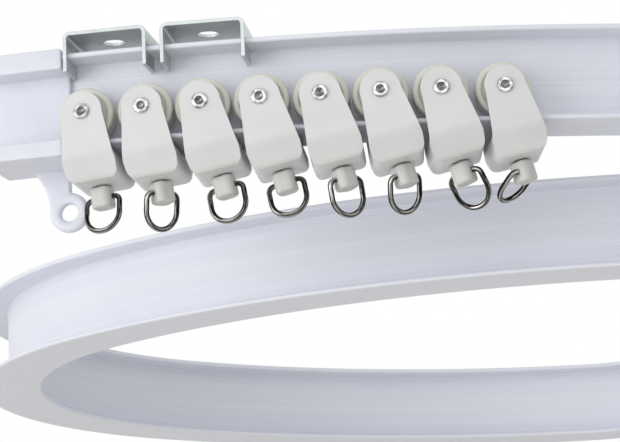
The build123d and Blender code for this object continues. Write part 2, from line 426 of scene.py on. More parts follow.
def prism(outline, across, low, high):
    """A closed solid: an outline in the plane across X or Y or Z, from low to high, in mm."""
    order = {"X": (2, 0, 1), "Y": (0, 2, 1), "Z": (0, 1, 2)}[across]
    shell = bmesh.new()
    rings = []
    for level in (low, high):
        ring = []
        for u, v in outline:
            point = (u, v, level)
            ring.append(shell.verts.new([point[i] for i in order]))
        rings.append(ring)
    skin_between(shell, *rings)
    shell.faces.new(rings[0])
    shell.faces.new(rings[1])
    bmesh.ops.recalc_face_normals(shell, faces=shell.faces)
    return shell


def round_outline(radius, sides):
    """A circle about the middle, without its closing point."""
    return corner((0, 0), radius, 0, 360 - 360 / sides, sides - 1)


def box_outline(low_x, high_x, low_y, high_y):
    """A rectangle, from its lower left corner."""
    return [(low_x, low_y), (high_x, low_y), (high_x, high_y), (low_x, high_y)]


def workpiece(name, shell):
    """A bmesh made an object in mm that modifiers can work on."""
    mesh = bpy.data.meshes.new(name)
    shell.to_mesh(mesh)
    shell.free()
    mesh.shade_smooth()
    return in_scene(name, mesh)


def cut(work, cutter, operation="DIFFERENCE"):
    """Takes a cutter out of a workpiece, or joins it on."""
    modifier = work.modifiers.new("cut", "BOOLEAN")
    modifier.operation = operation
    modifier.solver = "EXACT"
    modifier.object = cutter
    freeze(work)
    bpy.data.objects.remove(cutter)


def cut_through(work, outline, across, low, high, operation="DIFFERENCE"):
    """Takes a straight-sided solid out of a workpiece, or joins it on."""
    cut(work, workpiece("cutter", prism(outline, across, low, high)), operation)


def ease_edges(work, width, steps, angle):
    """Rounds the edges that are sharper than an angle, in degrees."""
    bevel = work.modifiers.new("bevel", "BEVEL")
    bevel.width = width
    bevel.segments = steps
    bevel.limit_method = "ANGLE"
    bevel.angle_limit = radians(angle)
    freeze(work)


def bracket_blank():
    """A folded bracket about the middle of its plate, slotted for the rail and pierced."""
    half = BRACKET_LENGTH / 2
    bend, inner = BRACKET_BEND, BRACKET_BEND - BRACKET_SHEET
    outline = [(-half, -BRACKET_HEIGHT)]
    outline += corner((-half + bend, -bend), bend, 180, 90, 8)
    outline += corner((half - bend, -bend), bend, 90, 0, 8)
    outline += [(half, -BRACKET_HEIGHT), (half - BRACKET_SHEET, -BRACKET_HEIGHT)]
    outline += corner((half - bend, -bend), inner, 0, 90, 6)
    outline += corner((-half + bend, -bend), inner, 90, 180, 6)
    outline += [(-half + BRACKET_SHEET, -BRACKET_HEIGHT)]
    blank = workpiece("bracket", prism(outline, "Y", -BRACKET_DEPTH / 2, BRACKET_DEPTH / 2))
    across = BRACKET_LENGTH
    slot = box_outline(-SLOT_WIDTH / 2, SLOT_WIDTH / 2, TOOTH_TOP, SLOT_TOP)
    cut_through(blank, slot, "X", -across, across)
    mouth_top = (SLOT_TOP + TOOTH_TOP) / 2
    mouth = box_outline(-SLOT_FOR_WEB / 2, SLOT_FOR_WEB / 2, -2 * BRACKET_HEIGHT, mouth_top)
    cut_through(blank, mouth, "X", -across, across)
    hole = round_outline(SCREW_HOLE_RADIUS, SCREW_HOLE_SIDES)
    cut_through(blank, hole, "Z", -2 * BRACKET_SHEET, BRACKET_SHEET)
    ease_edges(blank, SHEARED_EDGE, steps=2, angle=50)
    flat_shading_kept(blank)
    return blank


def plated_sheet_group():
    """Zinc plating on rolled sheet: rolling streaks, soft crystals and a few scuffs."""
    group, given, result = shader_group(
        "Plated Sheet",
        [("Coordinates", "NodeSocketVector", (0, 0, 0))],
        [(label, "NodeSocketFloat") for label in ("Tone", "Streak", "Crystal")],
    )
    at = given.outputs["Coordinates"]
    streak = stretched_noise(group, at, ROLLED_STREAKS, detail=3)
    cloud = stretched_noise(group, at, CLOUDS, detail=4)
    crystal = group.nodes.new("ShaderNodeTexVoronoi")
    crystal.inputs["Scale"].default_value = CRYSTALS
    group.links.new(at, crystal.inputs["Vector"])
    grey = group.nodes.new("ShaderNodeRGBToBW")
    group.links.new(crystal.outputs["Color"], grey.inputs["Color"])
    mixed = sum_of(group, cloud, grey.outputs["Val"], 0.75, 0.25)
    group.links.new(sum_of(group, mixed, streak, 0.7, 0.3), result.inputs["Tone"])
    group.links.new(streak, result.inputs["Streak"])
    group.links.new(grey.outputs["Val"], result.inputs["Crystal"])
    return group


def zinc_finish():
    """Zinc plate: a grey with a little green in it, satin, darker where it has dulled."""
    material, tree, shader = new_finish("zinc_plate")
    plating = use_group(tree, plated_sheet_group())
    tree.links.new(piece_coordinates(tree), plating.inputs["Coordinates"])
    tone = spread(tree, plating.outputs["Tone"], low=-0.3, high=1.3)
    colour = tinted(tree, tone, dark=(0.46, 0.5, 0.5), light=(0.68, 0.72, 0.715))
    tree.links.new(colour, shader.inputs["Base Color"])
    shader.inputs["Metallic"].default_value = 0.85
    roughness = spread(tree, plating.outputs["Crystal"], low=0.3, high=0.46)
    tree.links.new(roughness, shader.inputs["Roughness"])
    raised(tree, shader, plating.outputs["Streak"], distance=0.00001, strength=0.4)
    return material


ZINC_PLATE = zinc_finish()
bracket = bracket_blank()
for number, body in ((1, "root"), (2, "bracket_2")):
    mesh = placed(bracket, on_rail((number - 1) * BRACKET_PITCH, 0))
    show(f"bracket_{number}_sheet", mesh, ZINC_PLATE, body, f"bracket_{number}")
bpy.data.objects.remove(bracket)


# End stops. Moulded sleeves of white plastic, a little clear, pushed over the rail's two ends.
# A lug under each one carries an eye, which holds the curtain's last hook.
STOP_LENGTH = 22.0
STOP_END_WALL = 1.5
STOP_FIT = 0.15
STOP_HALF_WIDTH = 9.85
STOP_WEB_HALF = 2.2
STOP_ABOVE = 1.3
STOP_TOP_BAND = 5.5
STOP_BELOW = 2.2
STOP_BOTTOM_BAND = 4.4
STOP_FROM_FIRST_AXLE = 5.5
STOP_STATIONS = 12
STOP_VOXEL = 0.3
EYE_FROM_EDGE = 3.7
EYE_BELOW_RAIL = 13.3
EYE_RADIUS = 5.3
EYE_HOLE_RADIUS = 2.3
EYE_ROUNDING = 1.15
EYE_SIDES = 48
EYE_CUT_PAST = 2
LUG_THICKNESS = 2.8
LUG_FACE_SETBACK = 0.25
LUG_SETBACK = 5.5
LUG_REACH = 10.6
LUG_INNER = 0.5
LUG_OVERLAP = 0.6
LUG_FOOT_HALF = 0.96 * EYE_RADIUS
LUG_FLARE_POWER = 2.2
LUG_STEPS = 12
FIRST_AXLE = -6.0
DRIFT = (120, 120, 120)
FLECKS = (900, 900, 900)
GRAIN = (4200, 4200, 4200)


def stop_outline():
    """The I section of the sleeve, from the rail's underside up."""
    half, web = STOP_HALF_WIDTH, STOP_WEB_HALF
    top = RAIL_HEIGHT + STOP_ABOVE
    right = [
        (half, -STOP_BELOW), (half, STOP_BOTTOM_BAND - STOP_BELOW),
        (web, STOP_BOTTOM_BAND - STOP_BELOW), (web, top - STOP_TOP_BAND),
        (half, top - STOP_TOP_BAND), (half, top),
    ]
    return right + [(-x, y) for x, y in reversed(right)]


def channel_outline(gap):
    """The rail's section with a gap all round."""
    half, web = RAIL_HALF_WIDTH + gap, WEB_HALF + gap
    low, high = BOTTOM_FLANGE + gap, RAIL_HEIGHT - TOP_FLANGE - gap
    right = [(half, -gap), (half, low), (web, low)]
    right += [(web, high), (half, high), (half, RAIL_HEIGHT + gap)]
    return right + [(-x, y) for x, y in reversed(right)]


def swept(outline, place, inward, radius, length):
    """A closed solid: an upright outline carried along one bend, in mm. Its x is inward."""
    shell = bmesh.new()
    rings = []
    centre = place + inward * radius
    for i in range(STOP_STATIONS + 1):
        direction = turned(inward, length / radius * i / STOP_STATIONS)
        foot = centre - direction * radius
        ring = [foot + direction * x + Vector((0, 0, y)) for x, y in outline]
        rings.append([shell.verts.new(point) for point in ring])
    for near, far in zip(rings, rings[1:]):
        skin_between(shell, near, far)
    shell.faces.new(rings[0])
    shell.faces.new(rings[-1])
    bmesh.ops.recalc_face_normals(shell, faces=shell.faces)
    return shell


def lathe(profile, steps):
    """A closed ring-shaped solid about the Y axis from a loop of (radius, y), in mm."""
    shell = bmesh.new()
    rings = []
    for i in range(steps):
        angle = 2 * pi * i / steps
        rings.append([shell.verts.new((r * cos(angle), y, r * sin(angle))) for r, y in profile])
    for near, far in zip(rings, rings[1:] + rings[:1]):
        skin_between(shell, near, far)
    bmesh.ops.remove_doubles(shell, verts=shell.verts, dist=1e-5)
    bmesh.ops.dissolve_degenerate(shell, edges=shell.edges, dist=1e-6)
    bmesh.ops.recalc_face_normals(shell, faces=shell.faces)
    return shell


def after_bend(place, inward, radius, length):
    """The place and direction in after a way along a bend, back for a negative one."""
    direction = turned(inward, length / radius)
    return place + (inward - direction) * radius, direction


def eye_profile():
    """The eye's ring, with its rims well rounded."""
    high, r = LUG_THICKNESS, EYE_ROUNDING
    loop = corner((EYE_RADIUS - r, r), r, -90, 0, 6)
    loop += corner((EYE_RADIUS - r, high - r), r, 0, 90, 6)
    loop += corner((EYE_HOLE_RADIUS + r, high - r), r, 90, 180, 6)
    loop += corner((EYE_HOLE_RADIUS + r, r), r, 180, 270, 6)
    return loop


def end_stop_body(start, inward, radius, closed_first):
    """The sleeve with its lug and eye as one moulding, then the channel for the rail cut out."""
    towards_end = -1 if closed_first else 1
    sleeve = workpiece("stop", swept(stop_outline(), start, inward, radius, STOP_LENGTH))
    eye_way = STOP_LENGTH - EYE_FROM_EDGE if closed_first else EYE_FROM_EDGE
    eye_foot, eye_inward = after_bend(start, inward, radius, eye_way)
    eye_centre = eye_foot + eye_inward * LUG_SETBACK - Vector((0, 0, EYE_BELOW_RAIL))
    at_eye = standing(turned(eye_inward, -pi / 2), eye_inward, eye_centre)
    lug_top = EYE_BELOW_RAIL - LUG_OVERLAP
    lug = [(-towards_end * LUG_INNER, 0), (-towards_end * LUG_INNER, lug_top)]
    for i in range(LUG_STEPS + 1):
        up = 1 - i / LUG_STEPS
        flare = (LUG_REACH - LUG_FOOT_HALF) * up ** LUG_FLARE_POWER
        lug.append((towards_end * (LUG_FOOT_HALF + flare), lug_top * up))
    hole = round_outline(EYE_HOLE_RADIUS, EYE_SIDES)
    for shell, operation in (
        (prism(lug, "Y", LUG_FACE_SETBACK, LUG_THICKNESS - LUG_FACE_SETBACK), "UNION"),
        (lathe(eye_profile(), EYE_SIDES), "UNION"),
        (prism(hole, "Y", -EYE_CUT_PAST, LUG_THICKNESS + EYE_CUT_PAST), "DIFFERENCE"),
    ):
        bmesh.ops.transform(shell, matrix=at_eye, verts=shell.verts)
        cut(sleeve, workpiece("cutter", shell), operation)
    remesh = sleeve.modifiers.new("moulded", "REMESH")
    remesh.mode = "VOXEL"
    remesh.voxel_size = STOP_VOXEL
    remesh.use_smooth_shade = True
    soften = sleeve.modifiers.new("softened", "SMOOTH")
    soften.factor = 0.5
    soften.iterations = 8
    freeze(sleeve)
    wall = STOP_END_WALL if closed_first else -STOP_END_WALL
    channel_place, channel_inward = after_bend(start, inward, radius, wall)
    channel = channel_outline(STOP_FIT)
    channel_shell = swept(channel, channel_place, channel_inward, radius, STOP_LENGTH)
    cut(sleeve, workpiece("channel", channel_shell))
    return sleeve


def moulded_group():
    """The skin of a moulding: a tone that drifts slowly with small flecks, and a fine grain."""
    group, given, result = shader_group(
        "Moulded Skin",
        [("Coordinates", "NodeSocketVector", (0, 0, 0)), ("Drift Size", "NodeSocketFloat", 1.0)],
        [("Tone", "NodeSocketFloat"), ("Grain", "NodeSocketFloat")],
    )
    sized = group.nodes.new("ShaderNodeVectorMath")
    sized.operation = "SCALE"
    group.links.new(given.outputs["Coordinates"], sized.inputs[0])
    group.links.new(given.outputs["Drift Size"], sized.inputs["Scale"])
    drift = stretched_noise(group, sized.outputs["Vector"], DRIFT, detail=2)
    fleck = stretched_noise(group, sized.outputs["Vector"], FLECKS, detail=3)
    grain = stretched_noise(group, given.outputs["Coordinates"], GRAIN, detail=2)
    group.links.new(sum_of(group, drift, fleck, 0.75, 0.25), result.inputs["Tone"])
    group.links.new(grain, result.inputs["Grain"])
    return group


def moulding_finish(name, dark, light, roughness, drift=1.0, clear=0.0):
    """A moulded plastic between two colours, satin, and clear to a depth where it is given."""
    material, tree, shader = new_finish(name)
    skin = use_group(tree, MOULDED_SKIN)
    skin.inputs["Drift Size"].default_value = drift
    tree.links.new(piece_coordinates(tree), skin.inputs["Coordinates"])
    tone = skin.outputs["Tone"]
    colour = tinted(tree, spread(tree, tone, low=-0.3, high=1.3), dark, light)
    tree.links.new(colour, shader.inputs["Base Color"])
    gloss = spread(tree, tone, low=roughness + 0.06, high=roughness - 0.06)
    tree.links.new(gloss, shader.inputs["Roughness"])
    shader.inputs["Subsurface Weight"].default_value = clear
    shader.inputs["Subsurface Radius"].default_value = (0.0016, 0.0016, 0.0017)
    shader.inputs["Subsurface Scale"].default_value = 1.0
    raised(tree, shader, skin.outputs["Grain"], distance=0.000012, strength=0.3)
    return material


MOULDED_SKIN = moulded_group()
STOP_PLASTIC = moulding_finish(
    "stop_polyethylene", dark=(0.71, 0.73, 0.82), light=(0.78, 0.805, 0.89), roughness=0.4,
    clear=0.25,
)

left_edge = FIRST_AXLE - STOP_FROM_FIRST_AXLE - STOP_LENGTH
left_place, left_inward = upper_section(-pi / 2 + left_edge / UPPER_RADIUS)
stop_overlap = STOP_LENGTH - STOP_END_WALL - 2 * STOP_FIT
right_place, right_inward = after_bend(rail_places[-1], far_inward, LOWER_RADIUS, -stop_overlap)
stops = {
    "end_stop_left": end_stop_body(left_place, left_inward, UPPER_RADIUS, closed_first=True),
    "end_stop_right": end_stop_body(right_place, right_inward, LOWER_RADIUS, closed_first=False),
}
for name, work in stops.items():
    show(f"{name}_moulding", placed(work, Matrix()), STOP_PLASTIC, name, name)
    bpy.data.objects.remove(work)


# Wheels. Two to a runner, moulded in a cream plastic with a hub and a thin dished web. They turn
# on the rivets and roll on the rail's lower flange, one on each side of the web.
AXLE_PLACES = [FIRST_AXLE, 9.3, 24.0, 38.9, 53.9, 68.8, 83.8, 99.5]
AXLE_ABOVE_UNDERSIDE = 8.5
AXLE_HEIGHT = RAIL_UNDERSIDE + AXLE_ABOVE_UNDERSIDE
WHEEL_RADIUS = 7.2
WHEEL_INNER = 3.0
WHEEL_OUTER = 7.6
WHEEL_ROUNDING = 0.75
WHEEL_BORE = 1.45
WHEEL_SIDES = 64
WHEEL_GROOVE = 0.1
WHEEL_GROOVE_HALF = 0.14
HUB_RADIUS = 3.0
HUB_EDGE = 0.25
DISH_OUTER = 5.7
DISH_DEPTH = 0.8
DISH_SLOPE = [(-0.5, DISH_DEPTH), (0, 0.3), (0.2, 0)]


def wheel_profile():
    """From the bore out over one face, round the grooved tread and back over the other face."""
    inner, outer, r = WHEEL_INNER, WHEEL_OUTER, WHEEL_ROUNDING
    middle = (inner + outer) / 2
    face = [(WHEEL_BORE, 0), (HUB_RADIUS - HUB_EDGE, 0), (HUB_RADIUS, HUB_EDGE)]
    face += [(HUB_RADIUS + HUB_EDGE, DISH_DEPTH)]
    face += [(DISH_OUTER + out, deep) for out, deep in DISH_SLOPE]
    loop = [(radius, inner + deep) for radius, deep in face]
    loop += corner((WHEEL_RADIUS - r, inner + r), r, -90, 0, 6)
    loop += [(WHEEL_RADIUS, middle - WHEEL_GROOVE_HALF), (WHEEL_RADIUS - WHEEL_GROOVE, middle)]
    loop += [(WHEEL_RADIUS, middle + WHEEL_GROOVE_HALF)]
    loop += corner((WHEEL_RADIUS - r, outer - r), r, 0, 90, 6)
    return loop + [(radius, outer - deep) for radius, deep in reversed(face)]


WHEEL_PLASTIC = moulding_finish(
    "wheel_acetal", dark=(0.72, 0.72, 0.64), light=(0.8, 0.8, 0.725), roughness=0.34, drift=1.6
)
wheel = workpiece("wheel", lathe(wheel_profile(), WHEEL_SIDES))
flat_shading_kept(wheel)
TO_FRONT = Matrix.Rotation(pi, 4, "Z")
for number, way in enumerate(AXLE_PLACES, start=1):
    for side, half_turn in (("front", TO_FRONT), ("back", Matrix())):
        mesh = placed(wheel, on_rail(way, AXLE_HEIGHT) @ half_turn)
        node = f"wheel_{side}_{number}"
        show(f"{node}_moulding", mesh, WHEEL_PLASTIC, node, node)
bpy.data.objects.remove(wheel)


# Rivets. Tubular rivets of bright plated steel, set through each cheek from outside. The rolled
# rim and the hollow end show, and the shank inside is the wheel's axle.
SHANK_RADIUS = 1.4
RIVET_HEAD_AT = 11.25
RIVET_HEAD = 0.6
RIVET_HEAD_RADIUS = 2.08
RIVET_SIDES = 40
DIMPLE_RADIUS = 1.0
DIMPLE_DEPTH = 0.7
DIMPLE_BOWL = [(0, 0), (0.3, 0.03), (0.6, 0.13), (0.83, 0.3)]
DIMPLE_WALL_SETBACK = 0.04
DIMPLE_WALL_DEPTH = 0.42
RIM_REACH = 0.32
RIM_ROUNDING = 0.34
HEAD_ROUNDING = 0.46
HEAD_BACK = [(0.03, 0.04), (0.12, 0)]
TAIL_AT = 2.2
TAIL = 0.5
TAIL_RADIUS = 2.1
TAIL_EDGE = 0.15
# Painted shade: the hollow of each rivet's dimple and the seam under its head are darkened in the
# colour, standing in for the shade that falls there.
SHADE_PAINTED_FROM = 0.62
SHADE_PAINTED_TO = 1.05
SHADE_PAINTED_UNDER_HEAD = 0.1
PAINTED_SHADE_TONE = (0.42, 0.42, 0.42)


def rivet_profile():
    """From the middle of the dimple out over the rolled rim, down the shank and to the tail."""
    face, tail_top = RIVET_HEAD_AT + RIVET_HEAD, TAIL_AT + TAIL
    loop = [(radius, face - DIMPLE_DEPTH + up) for radius, up in DIMPLE_BOWL]
    loop += [(DIMPLE_RADIUS - DIMPLE_WALL_SETBACK, face - DIMPLE_WALL_DEPTH)]
    loop += corner((DIMPLE_RADIUS + RIM_REACH, face - RIM_ROUNDING), RIM_ROUNDING, 180, 90, 5)
    shoulder = (RIVET_HEAD_RADIUS - HEAD_ROUNDING, face - HEAD_ROUNDING)
    loop += corner(shoulder, HEAD_ROUNDING, 90, 0, 6)
    loop += [(RIVET_HEAD_RADIUS - back, RIVET_HEAD_AT + up) for back, up in HEAD_BACK]
    loop += [(SHANK_RADIUS, RIVET_HEAD_AT), (SHANK_RADIUS, tail_top)]
    loop += [(TAIL_RADIUS - TAIL_EDGE, tail_top), (TAIL_RADIUS, TAIL_AT + TAIL / 2)]
    return loop + [(TAIL_RADIUS - TAIL_EDGE, TAIL_AT), (0, TAIL_AT)]


def make_rivets():
    """Both rivets of an axle, with the points in a dimple or under a head's rim marked for painted
    shade.
    """
    pair = lathe(rivet_profile(), RIVET_SIDES)
    twin = bmesh.ops.duplicate(pair, geom=pair.verts[:] + pair.edges[:] + pair.faces[:])["geom"]
    points = [part for part in twin if isinstance(part, bmesh.types.BMVert)]
    bmesh.ops.rotate(pair, verts=points, cent=(0, 0, 0), matrix=Matrix.Rotation(pi, 3, "Z"))
    work = workpiece("rivets", pair)
    flat_shading_kept(work)
    marks = work.data.attributes.new("painted_shade", "FLOAT", "POINT")
    for point, mark in zip(work.data.vertices, marks.data):
        in_dimple = SHADE_PAINTED_FROM < hypot(point.co.x, point.co.z) < SHADE_PAINTED_TO
        under_head = abs(point.co.y) < RIVET_HEAD_AT + SHADE_PAINTED_UNDER_HEAD
        mark.value = 1.0 if in_dimple or under_head else 0.0
    return work


def streaks_and_painted_reflections_group():
    """Streaks in bright plating, drawn out by an amount each way: a height for bumps and gloss, and
    a tone that paints dark and bright reflections.
    """
    group, given, result = shader_group(
        "Streaks and Painted Reflections",
        [
            ("Coordinates", "NodeSocketVector", (0, 0, 0)),
            ("Stretch", "NodeSocketVector", (1, 1, 1)),
            ("Darkest Reflection", "NodeSocketFloat", 0.0), ("Brightest", "NodeSocketFloat", 1.0),
        ],
        [("Tone", "NodeSocketFloat"), ("Height", "NodeSocketFloat")],
    )
    drawn_out = group.nodes.new("ShaderNodeVectorMath")
    drawn_out.operation = "MULTIPLY"
    group.links.new(given.outputs["Coordinates"], drawn_out.inputs[0])
    group.links.new(given.outputs["Stretch"], drawn_out.inputs[1])
    streak = stretched_noise(group, drawn_out.outputs["Vector"], (1, 1, 1), detail=3)
    tone = group.nodes.new("ShaderNodeMapRange")
    group.links.new(streak, tone.inputs["Value"])
    group.links.new(given.outputs["Darkest Reflection"], tone.inputs["To Min"])
    group.links.new(given.outputs["Brightest"], tone.inputs["To Max"])
    group.links.new(tone.outputs["Result"], result.inputs["Tone"])
    group.links.new(streak, result.inputs["Height"])
    return group


def painted_shade(tree, colour):
    """A colour darkened with painted shade where the mesh is marked."""
    mark = tree.nodes.new("ShaderNodeAttribute")
    mark.attribute_name = "painted_shade"
    shaded = tree.nodes.new("ShaderNodeMix")
    shaded.data_type = "RGBA"
    shaded.blend_type = "MULTIPLY"
    shaded.inputs["B"].default_value = (*PAINTED_SHADE_TONE, 1)
    tree.links.new(mark.outputs["Fac"], shaded.inputs["Factor"])
    tree.links.new(colour, shaded.inputs["A"])
    return shaded.outputs["Result"]


def bright_metal_finish(name, dark, light, roughness, coordinates, streaks, shade_painted=False):
    """Plated steel whose streak tone paints dark and bright reflections into its colour, with
    painted shade where the mesh is marked.
    """
    material, tree, shader = new_finish(name)
    plating = use_group(tree, STREAKS_AND_PAINTED_REFLECTIONS)
    for label, value in streaks.items():
        plating.inputs[label].default_value = value
    tree.links.new(coordinates(tree), plating.inputs["Coordinates"])
    streak = plating.outputs["Height"]
    # Painted reflection: the streak tone sets dark and bright bands of reflection in the base
    # colour.
    colour = tinted(tree, plating.outputs["Tone"], dark, light)
    # Painted shade: where the mesh is marked, the colour is darkened for the shade in the dimple
    # and under the head's rim.
    tree.links.new(painted_shade(tree, colour) if shade_painted else colour, shader.inputs["Base Color"])
    shader.inputs["Metallic"].default_value = 1.0
    gloss = spread(tree, streak, low=roughness - 0.07, high=roughness + 0.1)
    tree.links.new(gloss, shader.inputs["Roughness"])
    raised(tree, shader, streak, distance=0.00001, strength=0.25)
    return material


STREAKS_AND_PAINTED_REFLECTIONS = streaks_and_painted_reflections_group()
# Painted reflection: the broad mottle paints dark and bright patches of reflection into the rivets'
# colour.
RIVET_METAL = bright_metal_finish(
    "rivet_nickel", dark=(0.28, 0.28, 0.29), light=(0.82, 0.82, 0.83), roughness=0.16,
    coordinates=piece_coordinates,
    streaks={"Stretch": (700, 700, 700), "Darkest Reflection": -1.1, "Brightest": 2.1}, shade_painted=True,
)
rivets = make_rivets()
for number, way in enumerate(AXLE_PLACES, start=1):
    mesh = placed(rivets, on_rail(way, AXLE_HEIGHT))
    node = f"rivets_{number}"
    show(f"{node}_pair", mesh, RIVET_METAL, node, node)
bpy.data.objects.remove(rivets)


# Carriages. Ivory mouldings whose two thin cheeks straddle the rail's lower flange. A thick bridge
# joins them below it, and their faces turn in under a soft crease to the flat underside.
CARRIAGE_LEANS = [-5.5, -6.5, -11.5, -13.0, -13.5, -14.5, -14.5, -13.5]
SWIVEL_TURNS = [-11, 48, -12, -8, 35, 36, -38, 47]
RING_SWINGS = [-14, 17, -8, -14, 12, 25, 18, 60]
RING_HOLE_DEPTH = 20.6
HEAD_RADIUS = 5.3
SHOULDER_ANGLE = 6.0
CHEEK_INNER = 10.2
CHEEK_OUTER = 11.2
CHEEK_HALF_LENGTH = 6.95
CREASE_DEPTH = 11.6
FLANK_DEPTH = 13.4
CARRIAGE_DEPTH = 17.6
BOTTOM_HALF_LENGTH = 6.5
BOTTOM_HALF_WIDTH = 7.5
CORNER_RADIUS = 2.4
CREASE_ROUNDING = 5.0
CREASE_STEPS = 7
UNDER_ROUNDING = 2.6
UNDER_STEPS = 6
CHEEK_ROUNDING = 0.55
BRIDGE_DEPTH = 11.6
BRIDGE_FILLET = 0.8
BOSS_RADIUS = 2.6
BOSS_INNER = 7.9
BOSS_ROOT = 0.3
STEM_BORE = 1.7
BORE_SIDES = 32
POCKET_RADIUS = 3.0
POCKET_DEPTH = 1.2
POCKET_SIDES = 40
CUT_PAST = 1


def carriage_outline():
    """The cheek from the front: a round head, straight flanks and round bottom corners."""
    right = [(CHEEK_HALF_LENGTH, -FLANK_DEPTH)]
    tilt = atan2(CHEEK_HALF_LENGTH - BOTTOM_HALF_LENGTH, CARRIAGE_DEPTH - FLANK_DEPTH)
    lift = CARRIAGE_DEPTH - FLANK_DEPTH - CORNER_RADIUS
    centre = CHEEK_HALF_LENGTH - (CORNER_RADIUS + lift * sin(tilt)) / cos(tilt)
    corner_centre = (centre, CORNER_RADIUS - CARRIAGE_DEPTH)
    right += corner(corner_centre, CORNER_RADIUS, -degrees(tilt), -90, 8)
    head = corner((0, 0), HEAD_RADIUS, -SHOULDER_ANGLE, 180 + SHOULDER_ANGLE, 40)
    return head + [(-x, z) for x, z in right] + right[::-1]


def rounding_planes(at, first, last, radius, angles):
    """Planes round a corner between two faces, each a point and its normal in Y and Z, in mm."""
    half, middle = radians(last - first) / 2, radians(first + last) / 2
    centre_y = at[0] - cos(middle) * radius / cos(half)
    centre_z = at[1] + sin(middle) * radius / cos(half)
    planes = []
    for angle in angles:
        out, down = cos(radians(angle)), sin(radians(angle))
        planes.append(((0, centre_y + out * radius, centre_z - down * radius), (0, out, -down)))
    return planes


def trim(shell, point, normal):
    """Cuts a closed solid by a plane and closes it again."""
    geometry = shell.verts[:] + shell.edges[:] + shell.faces[:]
    cut_off = bmesh.ops.bisect_plane(
        shell, geom=geometry, dist=1e-5, plane_co=point, plane_no=normal, clear_outer=True
    )
    rim = [part for part in cut_off["geom_cut"] if isinstance(part, bmesh.types.BMEdge)]
    bmesh.ops.edgeloop_fill(shell, edges=[edge for edge in rim if edge.is_boundary])


def carriage_blank():
    """The outline through both cheeks, with its sides trimmed in below the crease."""
    shell = prism(carriage_outline(), "Y", -CHEEK_OUTER, CHEEK_OUTER)
    slope = degrees(atan2(CHEEK_OUTER - BOTTOM_HALF_WIDTH, CARRIAGE_DEPTH - CREASE_DEPTH))
    crease = [slope * i / CREASE_STEPS for i in range(1, CREASE_STEPS + 1)]
    under = [slope + (90 - slope) * i / UNDER_STEPS for i in range(1, UNDER_STEPS)]
    planes = rounding_planes((CHEEK_OUTER, -CREASE_DEPTH), 0, slope, CREASE_ROUNDING, crease)
    foot = (BOTTOM_HALF_WIDTH, -CARRIAGE_DEPTH)
    planes += rounding_planes(foot, slope, 90, UNDER_ROUNDING, under)
    for point, normal in planes:
        for side in (1, -1):
            trim(shell, (0, side * point[1], point[2]), (0, side * normal[1], normal[2]))
    bmesh.ops.recalc_face_normals(shell, faces=shell.faces)
    return workpiece("carriage", shell)


def make_carriage():
    """The whole moulding about its axle: cheeks, bridge, bosses and the swivel's seat."""
    work = carriage_blank()
    ease_edges(work, CHEEK_ROUNDING, steps=3, angle=35)
    wide, floor = CHEEK_INNER, -BRIDGE_DEPTH
    gap = [(-wide, 3 * HEAD_RADIUS)]
    gap += corner((-wide + BRIDGE_FILLET, floor + BRIDGE_FILLET), BRIDGE_FILLET, 180, 270)
    gap += corner((wide - BRIDGE_FILLET, floor + BRIDGE_FILLET), BRIDGE_FILLET, 270, 360)
    gap += [(wide, 3 * HEAD_RADIUS)]
    reach = 2 * CHEEK_HALF_LENGTH
    cut_through(work, gap, "X", -reach, reach)
    for side in (1, -1):
        ends = sorted((side * BOSS_INNER, side * (CHEEK_INNER + BOSS_ROOT)))
        cut_through(work, round_outline(BOSS_RADIUS, BORE_SIDES), "Y", *ends, "UNION")
    bore, seat = round_outline(WHEEL_BORE, BORE_SIDES), round_outline(STEM_BORE, BORE_SIDES)
    cut_through(work, bore, "Y", -2 * CHEEK_OUTER, 2 * CHEEK_OUTER)
    cut_through(work, seat, "Z", -2 * CARRIAGE_DEPTH, floor + CUT_PAST)
    pocket = round_outline(POCKET_RADIUS, POCKET_SIDES)
    cut_through(work, pocket, "Z", floor - POCKET_DEPTH, floor + CUT_PAST)
    flat_shading_kept(work)
    return work


def runner_frames():
    """Each runner's number, and the places of its carriage, its swivel and its ring bar."""
    for number, way in enumerate(AXLE_PLACES, start=1):
        axle = on_rail(way, AXLE_HEIGHT)
        lean = axle @ Matrix.Rotation(radians(CARRIAGE_LEANS[number - 1]), 4, "Y")
        turn = lean @ Matrix.Rotation(radians(SWIVEL_TURNS[number - 1]), 4, "Z")
        swing = Matrix.Rotation(radians(RING_SWINGS[number - 1]), 4, "X")
        bar = turn @ Matrix.Translation((0, 0, -RING_HOLE_DEPTH)) @ swing
        yield number, lean, turn, bar


RUNNER_PLASTIC = moulding_finish(
    "runner_acetal", dark=(0.675, 0.685, 0.69), light=(0.745, 0.755, 0.76), roughness=0.38
)
carriage = make_carriage()
for number, lean, turn, bar in runner_frames():
    node = f"carriage_{number}"
    show(f"{node}_moulding", placed(carriage, lean), RUNNER_PLASTIC, node, node)
bpy.data.objects.remove(carriage)


# Swivels. Small rounded blocks of a greyer plastic, each hung by a headed stem that turns in the
# bridge. A cross hole near the foot takes the ring.
STEM_RADIUS = 1.6
STEM_HEAD_RADIUS = 2.7
STEM_HEAD = 0.8
STEM_HEAD_PLAY = 0.1
STEM_TOP = -(BRIDGE_DEPTH + POCKET_DEPTH - STEM_HEAD_PLAY)
STEM_ROOTS = (1, 0.3)
NECK_WIDTH = 5.6
NECK_THICKNESS = 5.4
NECK_CORNER = 1.9
NECK_GAP = 0.3
NECK_TOP = -(CARRIAGE_DEPTH + NECK_GAP)
NECK_FOOT = -23.4
NECK_ROUNDING = 0.75
RING_HOLE_RADIUS = 0.78
RING_HOLE_SIDES = 24


def neck_outline():
    """The neck from below: a block with round corners."""
    x, y = NECK_WIDTH / 2 - NECK_CORNER, NECK_THICKNESS / 2 - NECK_CORNER
    outline = []
    for quarter, centre in enumerate(((x, y), (-x, y), (-x, -y), (x, -y))):
        outline += corner(centre, NECK_CORNER, 90 * quarter, 90 * quarter + 90, 5)
    return outline


